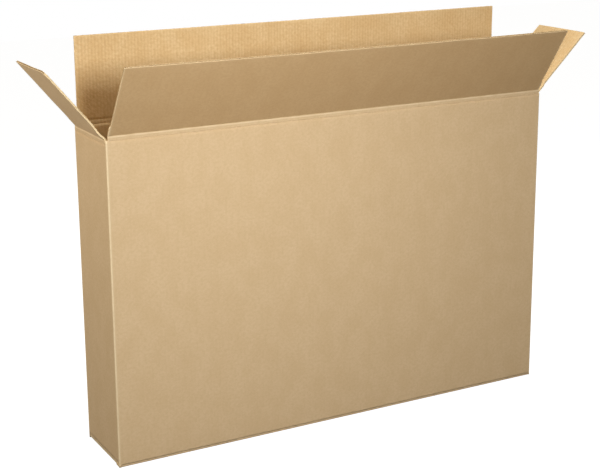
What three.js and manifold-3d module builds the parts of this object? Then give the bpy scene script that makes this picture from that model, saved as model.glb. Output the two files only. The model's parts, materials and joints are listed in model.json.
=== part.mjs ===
import * as THREE from 'three';
import { mergeVertices } from 'three/addons/utils/BufferGeometryUtils.js';
import Module from 'manifold-3d';

// Carton for a flat-panel television, folded from one sheet of corrugated board.
// The walls, the glue tab and the shut bottom are one piece, and the four top flaps
// turn on their creases. The carton stands with its top flaps open.
// Millimetres and degrees, +Z up, front towards -Y.
// The origin is the middle of the underside, on the floor.

// The board
const boardThickness = 4;

// The folded carton, outside
const cartonWidth = 1140;
const cartonDepth = 194;
const cartonHeight = 752;
const foldRadius = 3.5;
const foldSteps = 5;

// The glue tab, inside the right end panel at the rear
const tabWidth = 38;
const tabEndGap = 14;
const tabTaper = 16;

// Air between layers of board that lie on each other, and at the creases
const layerGap = 0.3;
const creaseGap = 0.3;
const creaseRelief = 0.3;

// Air beside a flap as it swings past its neighbours
const swingGap = 0.6;

// The slots that part the top flaps at the corners
const slotOvercut = 1;
const shoulderHeight = 22;
const shoulderStep = 2.4;
const shoulderSlope = 5;

// How far each top flap leans outward from upright
const frontLean = 34;
const rearLean = 0;
const leftLean = 39.5;
const rightLean = 46;

// The shut bottom: how far the long flaps' cut ends lie inside the end panels' faces
const bottomEndInset = 1.2;

// Sizes that follow from those above
const halfWidth = cartonWidth / 2;
const halfDepth = cartonDepth / 2;
const slotInset = boardThickness + swingGap;
const endCreaseHeight = cartonHeight - 2 * (boardThickness + layerGap);
const slotFoot = endCreaseHeight - slotOvercut;
const panelTopFoot = slotFoot - 2 * boardThickness;
const longFlapLength = cartonDepth - boardThickness - swingGap;
const endFlapLength = longFlapLength + cartonHeight - endCreaseHeight;
const seamInset = boardThickness;
const bottomThickness = 2 * boardThickness;

// How near two corners are to count as one, and how far a cutter runs past what it cuts
const weld = 1e-4;
const cutPast = 1;

const wasm = await Module();
wasm.setup();

/** A closed three.js geometry as a solid that can be joined and cut. */
function solid(geometry) {
  const bare = geometry.clone();
  bare.deleteAttribute('normal');
  bare.deleteAttribute('uv');
  const merged = mergeVertices(bare, weld);
  const mesh = new wasm.Mesh({
    numProp: 3,
    vertProperties: new Float32Array(merged.attributes.position.array),
    triVerts: new Uint32Array(merged.index.array),
  });
  return new wasm.Manifold(mesh);
}

/** A solid back as a three.js geometry. */
function geometryOf(manifold) {
  const mesh = manifold.getMesh();
  const geometry = new THREE.BufferGeometry();
  geometry.setAttribute('position', new THREE.BufferAttribute(mesh.vertProperties, 3));
  geometry.setIndex(new THREE.BufferAttribute(mesh.triVerts, 1));
  geometry.computeVertexNormals();
  return geometry;
}

/** A box between two corners. */
function block(low, high) {
  const size = high.map((value, i) => value - low[i]);
  const geometry = new THREE.BoxGeometry(size[0], size[1], size[2]);
  geometry.translate(low[0] + size[0] / 2, low[1] + size[1] / 2, low[2] + size[2] / 2);
  return solid(geometry);
}

/** A flat outline in X and Y, raised from one height to another. */
function raised(shape, low, high) {
  const options = { depth: high - low, bevelEnabled: false, curveSegments: foldSteps };
  const geometry = new THREE.ExtrudeGeometry(shape, options);
  geometry.translate(0, 0, low);
  return geometry;
}

/** A section in Y and Z, drawn out along X from one place to another. */
function drawnAlongX(points, from, to) {
  const shape = new THREE.Shape(points.map(([y, z]) => new THREE.Vector2(y, z)));
  const geometry = raised(shape, from, to);
  const turn = new THREE.Matrix4().makeBasis(
    new THREE.Vector3(0, 1, 0),
    new THREE.Vector3(0, 0, 1),
    new THREE.Vector3(1, 0, 0),
  );
  return geometry.applyMatrix4(turn);
}

/** An outline in X and Z, drawn through the board along Y. */
function drawnThroughBoard(points, from, to) {
  const shape = new THREE.Shape(points.map(([x, z]) => new THREE.Vector2(x, z)));
  const geometry = raised(shape, -to, -from);
  return geometry.rotateX(Math.PI / 2);
}

// The four sides. Each is built as the front is, and turned about Z into its place.
// It has its face's distance from the middle, the height of its crease, the places
// along X where its crease starts and ends, and its flap's length and lean.
const sides = {
  front: {
    turn: 0,
    face: halfDepth,
    crease: cartonHeight,
    low: -halfWidth + slotInset,
    high: halfWidth - slotInset,
    flapLength: longFlapLength,
    lean: frontLean,
  },
  rear: {
    turn: 180,
    face: halfDepth,
    crease: cartonHeight,
    low: -halfWidth + seamInset + slotInset,
    high: halfWidth - slotInset,
    flapLength: longFlapLength,
    lean: rearLean,
  },
  left: {
    turn: -90,
    face: halfWidth,
    crease: endCreaseHeight,
    low: -halfDepth + slotInset,
    high: halfDepth - slotInset,
    flapLength: endFlapLength,
    lean: leftLean,
  },
  right: {
    turn: 90,
    face: halfWidth,
    crease: endCreaseHeight,
    low: -halfDepth + slotInset,
    high: halfDepth - slotInset,
    flapLength: endFlapLength,
    lean: rightLean,
  },
};

/** The outline of the walls: rounded folds, and the butted glue seam at the rear right. */
function wallOutline() {
  const shape = new THREE.Shape();
  const r = foldRadius;
  const seamX = halfWidth - seamInset;
  shape.moveTo(-halfWidth + r, -halfDepth);
  shape.lineTo(halfWidth - r, -halfDepth);
  shape.absarc(halfWidth - r, -halfDepth + r, r, -Math.PI / 2, 0, false);
  shape.lineTo(halfWidth, halfDepth);
  shape.lineTo(seamX, halfDepth);
  shape.lineTo(seamX, halfDepth - r);
  shape.absarc(seamX - r, halfDepth - r, r, 0, Math.PI / 2, false);
  shape.lineTo(-halfWidth + r, halfDepth);
  shape.absarc(-halfWidth + r, halfDepth - r, r, Math.PI / 2, Math.PI, false);
  shape.lineTo(-halfWidth, -halfDepth + r);
  shape.absarc(-halfWidth + r, -halfDepth + r, r, Math.PI, 1.5 * Math.PI, false);
  return shape;
}

/** The four walls up to the feet of the slots, with the end panels' creases left out. */
function walls() {
  const outside = solid(raised(wallOutline(), 0, slotFoot));
  const wall = boardThickness;
  const inside = block(
    [-halfWidth + wall, -halfDepth + wall, bottomThickness],
    [halfWidth - wall, halfDepth - wall, cartonHeight],
  );
  let shell = outside.subtract(inside);
  const side = halfDepth - slotInset + layerGap;
  for (const sign of [-1, 1]) {
    const inner = sign * (halfWidth - wall - cutPast);
    const outer = sign * (halfWidth + cutPast);
    shell = shell.subtract(block(
      [Math.min(inner, outer), -side, panelTopFoot],
      [Math.max(inner, outer), side, cartonHeight],
    ));
  }
  return shell;
}

/** The top of one panel, from below the slots' feet up to its mitred crease. */
function panelTop(side) {
  const wall = boardThickness;
  const outerTop = side.crease - creaseGap / 2;
  const innerTop = outerTop - wall - creaseRelief;
  const section = [
    [-side.face, panelTopFoot],
    [-side.face + wall, panelTopFoot],
    [-side.face + wall, innerTop],
    [-side.face, outerTop],
  ];
  const geometry = drawnAlongX(section, side.low, side.high);
  geometry.rotateZ(THREE.MathUtils.degToRad(side.turn));
  return solid(geometry);
}

/** The glue tab: it carries on from the rear panel and lies inside the right end panel. */
function glueTab() {
  const wall = boardThickness;
  const foot = bottomThickness + wall + tabEndGap;
  const head = slotFoot - tabEndGap;
  const near = halfDepth - wall;
  const far = near - tabWidth;
  const outline = [
    [near, foot],
    [near, head],
    [far, head - tabTaper],
    [far, foot + tabTaper],
  ];
  const outer = halfWidth - wall;
  return solid(drawnAlongX(outline, outer - wall, outer));
}

/** A bottom end flap, glued down on the long flaps, at the end of sign -1 or 1. */
function bottomEndFlap(sign) {
  const wall = boardThickness;
  const joinedTo = sign * (halfWidth - wall / 2);
  const free = sign * (halfWidth - endFlapLength);
  const side = halfDepth - wall - swingGap;
  return block(
    [Math.min(joinedTo, free), -side, bottomThickness],
    [Math.max(joinedTo, free), side, bottomThickness + wall],
  );
}

/** The bar that rounds off a fold along X, at a height and depth, bulging to a sign of Y. */
function foldRounding(y, z, sign) {
  const r = foldRadius;
  const points = [
    [y - sign * r, z - cutPast],
    [y + sign * cutPast, z - cutPast],
    [y + sign * cutPast, z + r],
  ];
  for (let i = 0; i <= foldSteps; i += 1) {
    const angle = (i / foldSteps) * (Math.PI / 2);
    points.push([y - sign * r + sign * r * Math.cos(angle), z + r - r * Math.sin(angle)]);
  }
  return points;
}

/** Cutters for the underside: folded edges, and the steps where a layer stops short. */
function undersideCutters() {
  const wall = boardThickness;
  const reach = halfWidth + cutPast;
  const frontFold = foldRounding(-halfDepth, 0, -1);
  const rearFold = foldRounding(halfDepth, wall, 1);
  const cutters = [
    solid(drawnAlongX(frontFold, -reach, reach)),
    solid(drawnAlongX(rearFold, -reach, reach)),
    block([-reach, halfDepth - wall - swingGap, -cutPast], [reach, halfDepth + cutPast, wall]),
  ];
  for (const sign of [-1, 1]) {
    const inner = sign * (halfWidth - bottomEndInset);
    const outer = sign * reach;
    const side = halfDepth - slotInset;
    cutters.push(block(
      [Math.min(inner, outer), -side, -cutPast],
      [Math.max(inner, outer), side, bottomThickness],
    ));
  }
  return cutters;
}

/** The walls, glue tab and shut bottom, as the one sheet that they are. */
function cartonBody() {
  let body = walls().add(glueTab());
  for (const side of Object.values(sides)) {
    body = body.add(panelTop(side));
  }
  body = body.intersect(solid(raised(wallOutline(), 0, cartonHeight)));
  for (const sign of [-1, 1]) {
    body = body.add(bottomEndFlap(sign));
  }
  for (const cutter of undersideCutters()) {
    body = body.subtract(cutter);
  }
  return geometryOf(body);
}

/** A top flap, upright, with its crease on the X axis and its outer face in the XZ plane. */
function flapGeometry(side) {
  const foot = creaseGap / 2;
  const wall = boardThickness;
  const section = [
    [0, foot],
    [wall, foot + wall + creaseRelief],
    [wall, side.flapLength],
    [0, side.flapLength],
  ];
  const shoulderTop = shoulderHeight + shoulderSlope;
  const outline = [
    [side.low, 0],
    [side.high, 0],
    [side.high, shoulderHeight],
    [side.high - shoulderStep, shoulderTop],
    [side.high - shoulderStep, side.flapLength + cutPast],
    [side.low + shoulderStep, side.flapLength + cutPast],
    [side.low + shoulderStep, shoulderTop],
    [side.low, shoulderHeight],
  ];
  const sheet = solid(drawnAlongX(section, side.low - cutPast, side.high + cutPast));
  const cut = solid(drawnThroughBoard(outline, -cutPast, wall + cutPast));
  return geometryOf(sheet.intersect(cut));
}

/** The board's colour on one piece. */
function board(color) {
  return new THREE.MeshStandardMaterial({ color, roughness: 0.86, metalness: 0 });
}

const flapColours = { front: 0xa88c68, rear: 0xc6a578, left: 0xb39a6e, right: 0xdcbf8a };

const carton = new THREE.Group();

const body = new THREE.Mesh(cartonBody(), board(0xc3a477));
body.name = 'carton_body';
carton.add(body);

for (const [name, side] of Object.entries(sides)) {
  const flap = new THREE.Mesh(flapGeometry(side), board(flapColours[name]));
  flap.name = `${name}_flap`;
  flap.rotation.x = THREE.MathUtils.degToRad(side.lean);
  flap.position.set(0, -side.face, side.crease);
  const place = new THREE.Group();
  place.rotation.z = THREE.MathUtils.degToRad(side.turn);
  place.add(flap);
  carton.add(place);
}

export default carton;
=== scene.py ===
"""Open corrugated carton for a flat-panel television, dressed for its photograph.

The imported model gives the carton's box, its hinges and its flaps. The visible pieces are
built here as folded sheets of board: two liners with a fluted layer between them, crushed
at the creases, with ragged cut edges and a washboard of ribs inside.
"""

import json
import logging
import math
from dataclasses import dataclass, field, fields
from enum import Enum, IntEnum

import bpy
import numpy as np
from mathutils import Matrix, Vector


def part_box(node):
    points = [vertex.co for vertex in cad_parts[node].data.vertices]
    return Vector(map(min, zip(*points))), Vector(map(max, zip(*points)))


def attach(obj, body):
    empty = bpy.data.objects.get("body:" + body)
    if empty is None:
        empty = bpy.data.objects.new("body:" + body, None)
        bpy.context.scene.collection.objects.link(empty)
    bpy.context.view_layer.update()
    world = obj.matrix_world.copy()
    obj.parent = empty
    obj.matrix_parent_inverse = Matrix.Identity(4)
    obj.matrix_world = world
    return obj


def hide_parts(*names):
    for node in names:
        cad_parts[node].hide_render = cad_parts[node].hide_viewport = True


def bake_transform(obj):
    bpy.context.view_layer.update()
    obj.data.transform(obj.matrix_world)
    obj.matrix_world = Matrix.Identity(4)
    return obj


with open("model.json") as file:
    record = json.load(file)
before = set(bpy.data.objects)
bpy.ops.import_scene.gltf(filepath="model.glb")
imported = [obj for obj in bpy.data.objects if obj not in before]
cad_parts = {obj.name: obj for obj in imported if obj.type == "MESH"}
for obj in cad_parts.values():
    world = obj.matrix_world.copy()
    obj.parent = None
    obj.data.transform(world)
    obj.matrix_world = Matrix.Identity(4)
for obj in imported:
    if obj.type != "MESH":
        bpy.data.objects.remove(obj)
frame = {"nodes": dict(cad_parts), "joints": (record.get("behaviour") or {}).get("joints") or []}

LOG = logging.getLogger("carton")
MM = 0.001
UP = np.array([0.0, 0.0, 1.0])
UV_NAME = "board"
# Point attribute of how much paler a place is painted: scuffing, and a painted highlight.
WEAR_AND_HIGHLIGHT_NAME = "wear"
# Point attribute of the painted shade on a flap's outer face.
PAINTED_SHADE_NAME = "dulled"
SOFT_STEP = {"interpolation_type": "SMOOTHSTEP"}
COLOURS = {"data_type": "RGBA"}
Socket = bpy.types.NodeSocket
Colour = tuple[float, float, float, float] | Socket


class Surface(IntEnum):
    """The surfaces of the board, in the order of a piece's material slots."""

    OUTER_LINER = 0
    INNER_LINER = 1
    FLUTING = 2
    CUT_EDGE = 3


class Build(Enum):
    """How much of the board's inside a folded strip shows."""

    FLUTED = "two liners and the fluting"
    SOLID = "one thickness, with its cut edges closed"


@dataclass(frozen=True)
class Board:
    """Single-wall corrugated board with C flutes, in metres."""

    caliper: float = 4.0 * MM
    liner: float = 0.55 * MM
    fluting: float = 0.42 * MM
    pitch: float = 7.8 * MM
    rib_depth: float = 0.20 * MM
    columns_per_flute: int = 4
    wave_steps: int = 8

    def wave(self, u: np.ndarray) -> np.ndarray:
        """The fluting's height between the liners, 0 at the outer and 1 at the inner."""
        return 0.5 - 0.5 * np.cos(2 * math.pi * u / self.pitch)

    def rib(self, u: np.ndarray) -> np.ndarray:
        """How far the inner liner sags between two flute tips."""
        return self.rib_depth * (1 - self.wave(u))

    def columns(self, low: float, high: float, blank: float) -> np.ndarray:
        """Places from low to high that keep step with the flutes of the blank."""
        step = self.pitch / self.columns_per_flute
        first, last = math.ceil((low + blank) / step), math.floor((high + blank) / step)
        return np.arange(first, last + 1) * step - blank


BOARD = Board()


def smooth(x: np.ndarray) -> np.ndarray:
    """A soft step from 0 to 1 as x goes from 0 to 1."""
    t = np.clip(x, 0.0, 1.0)
    return t * t * (3 - 2 * t)


def wobble(x: np.ndarray, seed: int, wavelength: float, octaves: int = 3) -> np.ndarray:
    """A smooth random line.

    Args:
        x: Places along the line, in metres.
        seed: Picks the line.
        wavelength: The longest wave, in metres.
        octaves: How many finer waves are added, each half as long and half as high.

    Returns:
        Heights between about -1 and 1.
    """
    rng = np.random.default_rng(seed)
    total = np.zeros_like(x)
    for k in range(octaves):
        share = 0.5**k
        for _ in range(3):
            length = wavelength * share * rng.uniform(0.7, 1.4)
            total += share * np.sin(2 * math.pi * x / length + rng.uniform(0, 2 * math.pi)) / 3
    return total


def spaced(start: float, end: float, step: float) -> np.ndarray:
    """Even places from start to end, about step apart."""
    return np.linspace(start, end, max(2, round(abs(end - start) / step) + 1))


@dataclass
class Patch:
    """A grid of points on one surface, rows by columns, with its board coordinates."""

    xyz: np.ndarray
    uv: np.ndarray
    # How much paler each point is painted: scuffing, and a painted highlight on ridges and beads.
    wear: np.ndarray
    # How much painted shade darkens each point.
    dull: np.ndarray | None = None
    index: np.ndarray = field(default_factory=lambda: np.zeros(0, int))


class SheetMesh:
    """Gathers the faces of one piece and turns them into a Blender object."""

    def __init__(self, name: str) -> None:
        """Starts an empty piece with the given name."""
        self.name = name
        self.points: list[np.ndarray] = []
        self.wear: list[np.ndarray] = []
        self.dull: list[np.ndarray] = []
        self.quads: list[np.ndarray] = []
        self.uvs: list[np.ndarray] = []
        self.surfaces: list[np.ndarray] = []
        self.rounded: list[np.ndarray] = []
        self.count = 0

    def add_patch(self, patch: Patch) -> Patch:
        """Adds a patch's points and remembers their numbers in the patch."""
        rows, columns = patch.xyz.shape[:2]
        patch.index = self.count + np.arange(rows * columns).reshape(rows, columns)
        self.points.append(patch.xyz.reshape(-1, 3))
        self.wear.append(patch.wear.reshape(-1))
        plain = np.zeros(rows * columns)
        self.dull.append(plain if patch.dull is None else patch.dull.reshape(-1))
        self.count += rows * columns
        return patch

    def add_quads(
        self, corners: np.ndarray, uv: np.ndarray, surface: Surface, rounded: bool
    ) -> None:
        """Adds quads.

        Args:
            corners: Point numbers, n by 4.
            uv: Board coordinates of the corners in metres, n by 4 by 2.
            surface: Which surface of the board they are.
            rounded: True for smooth shading.
        """
        self.quads.append(corners)
        self.uvs.append(uv)
        self.surfaces.append(np.full(len(corners), int(surface)))
        self.rounded.append(np.full(len(corners), rounded))

    def face(self, patch: Patch, surface: Surface, outward: bool) -> None:
        """Covers a patch with quads that face out of the sheet's outer or inner side."""
        i, uv = patch.index, patch.uv
        order = [(0, 0), (0, 1), (1, 1), (1, 0)]
        if not outward:
            order.reverse()
        rows, columns = i.shape
        corners = [i[a : rows - 1 + a, b : columns - 1 + b].ravel() for a, b in order]
        uvs = [uv[a : rows - 1 + a, b : columns - 1 + b].reshape(-1, 2) for a, b in order]
        self.add_quads(np.stack(corners, 1), np.stack(uvs, 1), surface, True)

    def rim(self, near: Patch, far: Patch, surface: Surface) -> None:
        """Closes the four sides between an outward patch and the inward one behind it."""
        sides = [
            (near.index[0], far.index[0], near.uv[0, :, 0], True),
            (near.index[-1], far.index[-1], near.uv[-1, :, 0], False),
            (near.index[:, 0], far.index[:, 0], near.uv[:, 0, 1], False),
            (near.index[:, -1], far.index[:, -1], near.uv[:, -1, 1], True),
        ]
        everything = np.concatenate(self.points)
        for a, b, along, turned in sides:
            depth = np.linalg.norm(everything[a] - everything[b], axis=1)
            corners = [a[:-1], a[1:], b[1:], b[:-1]]
            zero = np.zeros(len(a) - 1)
            low, high = along[:-1], along[1:]
            uvs = [(low, zero), (high, zero), (high, depth[1:]), (low, depth[:-1])]
            if turned:
                corners.reverse()
                uvs.reverse()
            uv = np.stack([np.stack(pair, 1) for pair in uvs], 1)
            self.add_quads(np.stack(corners, 1), uv, surface, False)

    def skin(
        self, near: Patch, far: Patch, surfaces: tuple[Surface, Surface], edge: Surface
    ) -> None:
        """Adds a closed sheet between two patches of the same size."""
        self.add_patch(near)
        self.add_patch(far)
        self.face(near, surfaces[0], True)
        self.face(far, surfaces[1], False)
        self.rim(near, far, edge)

    def finish(
        self, materials: list[bpy.types.Material], mirrored: bool = False
    ) -> bpy.types.Object:
        """Makes the Blender object.

        Args:
            materials: One for each surface, in the order of Surface.
            mirrored: True if the points were mirrored, so that the faces turn over.

        Returns:
            The new object, linked to the scene.
        """
        points = np.concatenate(self.points)
        quads = np.concatenate(self.quads)
        uvs = np.concatenate(self.uvs)
        if mirrored:
            quads, uvs = quads[:, ::-1], uvs[:, ::-1]
        mesh = bpy.data.meshes.new(self.name)
        mesh.vertices.add(len(points))
        mesh.vertices.foreach_set("co", points.astype(np.float32).ravel())
        mesh.loops.add(quads.size)
        mesh.loops.foreach_set("vertex_index", quads.astype(np.int32).ravel())
        mesh.polygons.add(len(quads))
        mesh.polygons.foreach_set("loop_start", np.arange(0, quads.size, 4, dtype=np.int32))
        mesh.update(calc_edges=True)
        mesh.polygons.foreach_set("material_index", np.concatenate(self.surfaces).astype(np.int32))
        mesh.polygons.foreach_set("use_smooth", np.concatenate(self.rounded))
        layer = mesh.uv_layers.new(name=UV_NAME)
        layer.data.foreach_set("uv", uvs.astype(np.float32).ravel())
        # Paler for scuffing and painted highlight; darker for painted shade.
        for name, values in ((WEAR_AND_HIGHLIGHT_NAME, self.wear), (PAINTED_SHADE_NAME, self.dull)):
            attribute = mesh.attributes.new(name, "FLOAT", "POINT")
            attribute.data.foreach_set("value", np.concatenate(values).astype(np.float32))
        for material in materials:
            mesh.materials.append(material)
        mesh.validate()
        mesh.update()
        made = bpy.data.objects.new(self.name, mesh)
        bpy.context.scene.collection.objects.link(made)
        return made


@dataclass(frozen=True)
class Crease:
    """The section of a scored crease, by distance s along the sheet from the hinge line."""

    foot: float = 10.0 * MM
    bend: float = 2.0 * MM
    crush: float = 0.32
    crush_reach: float = 4.6 * MM
    bead_height: float = 0.5 * MM
    bead_place: float = -3.4 * MM
    bead_width: float = 2.4 * MM
    score_depth: float = 0.10 * MM
    score_place: float = -7.2 * MM
    score_width: float = 1.2 * MM

    def rows(self) -> np.ndarray:
        """The places of the rows of points across the crease, up to the flap's flat part."""
        below = [-9, -8.4, -7.8, -7.2, -6.6, -5.8, -4.9, -4.2, -3.4, -2.7, -2, -1.5, -1]
        above = [-0.5, 0, 0.5, 1, 1.5, 2, 2.7, 3.6, 4.6, 6, 8, 11]
        places = np.array(below + above) * MM
        return np.concatenate([[-self.foot], places[places > 0.5 * MM - self.foot]])

    def path(self, s: np.ndarray, lean: float) -> tuple[np.ndarray, np.ndarray, np.ndarray]:
        """The sheet's outer face.

        Args:
            s: Distances along the sheet from the hinge line, in metres.
            lean: How far the flap leans outward from upright, in radians.

        Returns:
            Inward and upward places, and the lean at each.
        """
        a = self.bend
        t = np.clip((s + a) / (2 * a), 0, 1)
        flap_y, flap_z = -math.sin(lean), math.cos(lean)
        y = np.where(s > a, s * flap_y, t * t * a * flap_y)
        turn = -((1 - t) ** 2) * a + t * t * a * flap_z
        z = np.where(s > a, s * flap_z, np.where(s < -a, s, turn))
        run_y = t * flap_y
        run_z = (1 - t) + t * flap_z
        return y, z, np.arctan2(-run_y, run_z)

    def thickness(self, s: np.ndarray) -> np.ndarray:
        """The board's thickness, which is crushed at the hinge line."""
        near = np.clip(1 - np.abs(s) / self.crush_reach, 0, 1)
        return BOARD.caliper * (1 - self.crush * near)

    def relief(self, s: np.ndarray, u: np.ndarray, seed: int) -> np.ndarray:
        """How far the outer face stands out: a rolled bead below the crease, and a score line.

        Args:
            s: Places across the crease.
            u: Places along it.
            seed: Picks how the score line wanders and fades.

        Returns:
            Heights in metres.
        """
        bead = self.bead_height * np.exp(-(((s - self.bead_place) / self.bead_width) ** 2))
        place = self.score_place + 0.5 * MM * wobble(u, seed + 50, 180 * MM, 2)
        depth = self.score_depth * (0.65 + 0.6 * wobble(u, seed + 51, 120 * MM))
        return bead - depth * np.exp(-(((s - place) / self.score_width) ** 2))


@dataclass(frozen=True)
class Character:
    """What makes one flap unlike the next: its lean, its warp, its clipped corner and its painted
    shade.

    The clip is how much of the flap's far top corner is cut off, and the quilt is a patch of
    shallow bumps, as the middle and half size along the crease and up the flap.
    """

    seed: int
    lean: float
    bow: float = 1.2 * MM
    curl: float = 0.0
    ripple: float = 0.35 * MM
    near_dip: float = 0.0
    dulled: float = 0.0
    clip: float = 0.0
    quilt: tuple[float, float, float, float] | None = None


@dataclass
class Side:
    """One side of the carton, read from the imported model.

    Local places are (along the crease, inward, up), measured from the hinge line. The field
    blank is added to a place along the crease to give its place along the flat blank, so that
    the flutes run straight on from a panel into its flaps.
    """

    name: str
    hinge: np.ndarray
    inward: np.ndarray
    low: float
    high: float
    reach: float
    blank: float = 0.0

    @property
    def along(self) -> np.ndarray:
        """The direction along the crease."""
        return np.cross(self.inward, UP)

    @classmethod
    def read(cls, name: str, lean: float) -> "Side":
        """Reads a side from its joint and its flap.

        Args:
            name: front, rear, left or right.
            lean: The flap's lean at rest, in radians.

        Returns:
            The side.
        """
        joint = next(j for j in frame["joints"] if j["name"] == f"{name}_flap_fold")
        hinge = np.array(joint["pos_m"], float)
        inward = -hinge * np.array([1, 1, 0])
        inward /= np.linalg.norm(inward)
        vertices = frame["nodes"][f"{name}_flap"].data.vertices
        corners = np.array([v.co for v in vertices], float) - hinge
        along = np.cross(inward, UP)
        up_flap = -math.sin(lean) * inward + math.cos(lean) * UP
        spread = corners @ along
        return cls(name, hinge, inward, spread.min(), spread.max(), (corners @ up_flap).max())

    def place(self, u: np.ndarray, y: np.ndarray, z: np.ndarray) -> np.ndarray:
        """Local places as places in the row frame."""
        local = (u[..., None] * self.along, y[..., None] * self.inward, z[..., None] * UP)
        return self.hinge + sum(local)


@dataclass
class FoldedStrip:
    """A flap with its crease and the strip of panel below it, as one folded sheet."""

    side: Side
    character: Character
    crease: Crease = Crease()
    build: Build = Build.FLUTED
    mirrored: bool = False
    shoulder: float = 22.0 * MM
    shoulder_run: float = 5.0 * MM
    shoulder_step: float = 2.4 * MM
    ragged: float = 0.28 * MM
    edge_margin: float = 10.0 * MM
    row_step: float = 9.0 * MM
    mouth_depth: float = 46.0 * MM

    def outline(self, u: np.ndarray, s: np.ndarray, layer: int) -> tuple[np.ndarray, np.ndarray]:
        """Moves the points near the cut edges onto the real, slightly ragged outline.

        Args:
            u: Places along the crease.
            s: Places up the flap.
            layer: 0 for the outer liner, 1 for the inner one, which tears its own way.

        Returns:
            The moved u and s.
        """
        side, seed = self.side, self.character.seed * 10 + layer
        above = smooth(s / (3 * MM))
        inset = self.shoulder_step * smooth((s - self.shoulder) / self.shoulder_run)
        left = above * (inset + self.ragged * (1 + wobble(s, seed, 14 * MM, 4)))
        right = above * (inset + self.ragged * (1 + wobble(s, seed + 1, 14 * MM, 4)))
        right = right + self.character.clip * smooth(1 - (side.reach - s) / (16 * MM))
        near_left = np.clip(1 - (u - side.low) / self.edge_margin, 0, 1)
        near_right = np.clip(1 - (side.high - u) / self.edge_margin, 0, 1)
        moved_u = u + left * near_left - right * near_right
        near_top = np.clip(1 - (side.reach - s) / self.edge_margin, 0, 1)
        top = self.ragged * (wobble(u, seed + 2, 17 * MM, 4) - 1) - self.character.clip * near_right
        return moved_u, s + top * near_top

    def warp(self, u: np.ndarray, s: np.ndarray) -> np.ndarray:
        """How far the whole sheet stands inward of its plane."""
        side, c = self.side, self.character
        up = np.clip(s / side.reach, 0, 1)
        across = (u - side.low) / (side.high - side.low)
        total = c.bow * np.sin(math.pi * across) * up**1.5
        total += c.curl * up**2
        total += c.ripple * wobble(u, c.seed + 70, 260 * MM) * up
        total += c.ripple * 0.6 * wobble(s, c.seed + 71, 90 * MM) * smooth(up * 8)
        dip = np.exp(-(((s - 20 * MM) / (14 * MM)) ** 2)) * smooth(s / (6 * MM))
        total += c.near_dip * dip * smooth(across * 1.6 - 0.6)
        if c.quilt is not None:
            centre_u, centre_s, half_u, half_s = c.quilt
            mask = np.exp(-(((u - centre_u) / half_u) ** 4) - ((s - centre_s) / half_s) ** 4)
            bumps = wobble(u + 0.4 * s, c.seed + 80, 42 * MM, 2)
            bumps = bumps + wobble(s - 0.3 * u, c.seed + 81, 48 * MM, 1)
            total += 0.3 * MM * mask * bumps
        return total

    def sheet(
        self, u: np.ndarray, s: np.ndarray, depth: float, layer: int, rib: bool = False
    ) -> Patch:
        """Points of one surface of the sheet.

        Args:
            u: Columns, along the crease.
            s: Rows, up the flap.
            depth: How deep in the board the surface is, 0 for the outer face and 1 for the inner.
            layer: 0 for the outer liner's outline, 1 for the inner one's.
            rib: True where the washboard of the flutes shows.

        Returns:
            The patch.
        """
        grid_s, grid_u = np.meshgrid(s, u, indexing="ij")
        out_u, out_s = self.outline(grid_u, grid_s, layer)
        y, z, lean = self.crease.path(out_s, self.character.lean)
        relief = self.crease.relief(out_s, out_u, self.character.seed)
        inset = depth * self.crease.thickness(out_s) - (1 - depth) * relief
        inset = inset + self.warp(out_u, out_s)
        if rib:
            away = smooth(np.abs(out_s) / self.crease.crush_reach - 0.4)
            inset = inset - BOARD.rib(grid_u + self.side.blank) * away
        y = y + inset * np.cos(lean)
        z = z + inset * np.sin(lean)
        if self.mirrored:
            z = -z
        rise = self.side.hinge[2] + (-out_s if self.mirrored else out_s)
        uv = np.stack([out_u + self.side.blank, rise], -1)
        # Painted shade on the outer face of a flap turned away from the lamps, from the hinge line
        # up.
        dull = self.character.dulled * smooth(out_s / (1.5 * MM) + 0.5) * (depth < 0.5)
        return Patch(self.side.place(out_u, y, z), uv, self.wear(out_u, out_s, depth), dull)

    def wear(self, u: np.ndarray, s: np.ndarray, depth: float) -> np.ndarray:
        """How much paler a place is painted, from 0 to 1: cut edges for scuffing, beads for
        scuffing and as a painted highlight.
        """
        side, crease = self.side, self.crease
        # Painted highlight on the top of the rolled bead, where it catches the lamps, together with
        # scuffing.
        bead = np.exp(-(((s - crease.bead_place - 1.2 * MM) / (1.5 * MM)) ** 2)) * (1 - depth)
        uneven = 1 + 0.5 * wobble(u, self.character.seed + 60, 60 * MM)
        bead = bead * 0.5 * (crease.bead_height > 0) * uneven
        from_side = np.minimum(u - side.low, side.high - u) - self.shoulder_step
        sides = np.exp(-np.clip(from_side, 0, None) / (1.3 * MM)) * (s > 0)
        top = np.exp(-(side.reach - s) / (1.5 * MM))
        return np.clip(bead + 0.6 * sides + 0.5 * top, 0, 1)

    def fluting(self, mesh: SheetMesh, rows: np.ndarray) -> None:
        """Adds the fluted layer where a cut edge lets it be seen: the mouth and both sides."""
        side = self.side
        step = BOARD.pitch / BOARD.wave_steps
        depths = np.array([self.mouth_depth, self.mouth_depth / 3, 0.0])
        mouth = side.reach - depths
        self.band(mesh, spaced(side.low + 3.0 * MM, side.high - 3.0 * MM, step), mouth)
        deep = np.array([0.35, 0.9, 2.6]) * MM
        for u in (side.low + deep, side.high - deep[::-1]):
            self.crushed_side(mesh, u, rows[rows < side.reach - 0.4 * MM])

    def crushed_side(self, mesh: SheetMesh, u: np.ndarray, s: np.ndarray) -> None:
        """Adds the fluting that the rule pressed shut along a side cut."""
        liner = BOARD.liner / BOARD.caliper
        near, far = self.sheet(u, s, liner + 0.005, 0), self.sheet(u, s, 1 - liner - 0.005, 0)
        mesh.skin(near, far, (Surface.FLUTING, Surface.FLUTING), Surface.CUT_EDGE)

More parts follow.
